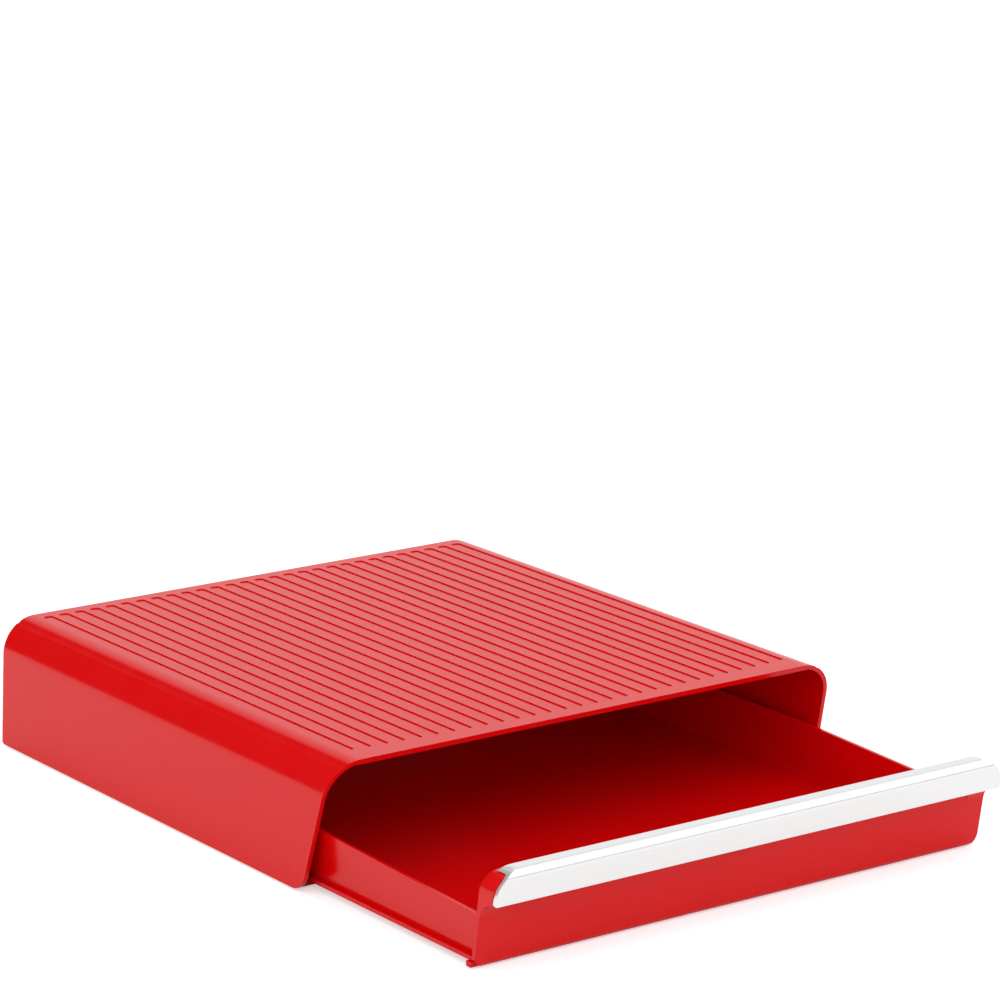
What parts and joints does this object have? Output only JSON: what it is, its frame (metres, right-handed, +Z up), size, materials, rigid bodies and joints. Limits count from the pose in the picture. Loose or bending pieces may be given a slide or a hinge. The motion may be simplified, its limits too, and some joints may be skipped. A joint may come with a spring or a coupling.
{
  "type": "coffee pod drawer",
  "caption": "Wide low drawer for coffee pods in a moulded casing with a grooved deck that carries a coffee machine.",
  "frame": {"origin": "on the table, in the middle of the whole object as it stands with its drawer part way out", "axes": "+Z up, -Y the way the drawer opens, +X to the right of someone who faces the drawer"},
  "size_m": [0.3378, 0.4772, 0.0725],
  "materials": {
    "red_moulding": "gloss, fine moulding grain",
    "rail_plastic": "satin, rubbed bright along the sliding faces",
    "slide_plastic": "matte natural nylon",
    "strip_metal": "satin silver, brushed along its length",
    "screw_steel": "zinc-plated",
    "foot_rubber": "matte"
  },
  "bodies": {
    "casing_body": {"casing": "red_moulding", "left_rail": "rail_plastic", "right_rail": "rail_plastic", "left_rail_screws": "screw_steel", "right_rail_screws": "screw_steel", "front_tie_bar": "slide_plastic", "centre_runner": "slide_plastic", "front_left_foot": "foot_rubber", "front_right_foot": "foot_rubber", "rear_left_foot": "foot_rubber", "rear_right_foot": "foot_rubber"},
    "drawer_body": {"tray": "red_moulding", "front_panel": "red_moulding", "front_panel_screws": "screw_steel", "handle_strip": "strip_metal", "left_stop_hook": "slide_plastic", "right_stop_hook": "slide_plastic", "left_stop_hook_screws": "screw_steel", "right_stop_hook_screws": "screw_steel"}
  },
  "joints": [
    {"name": "drawer_slide", "type": "slide", "parent": "casing_body", "child": "drawer_body", "axis": [0, -1, 0], "range_m": [-0.138, 0.097]}
  ]
}
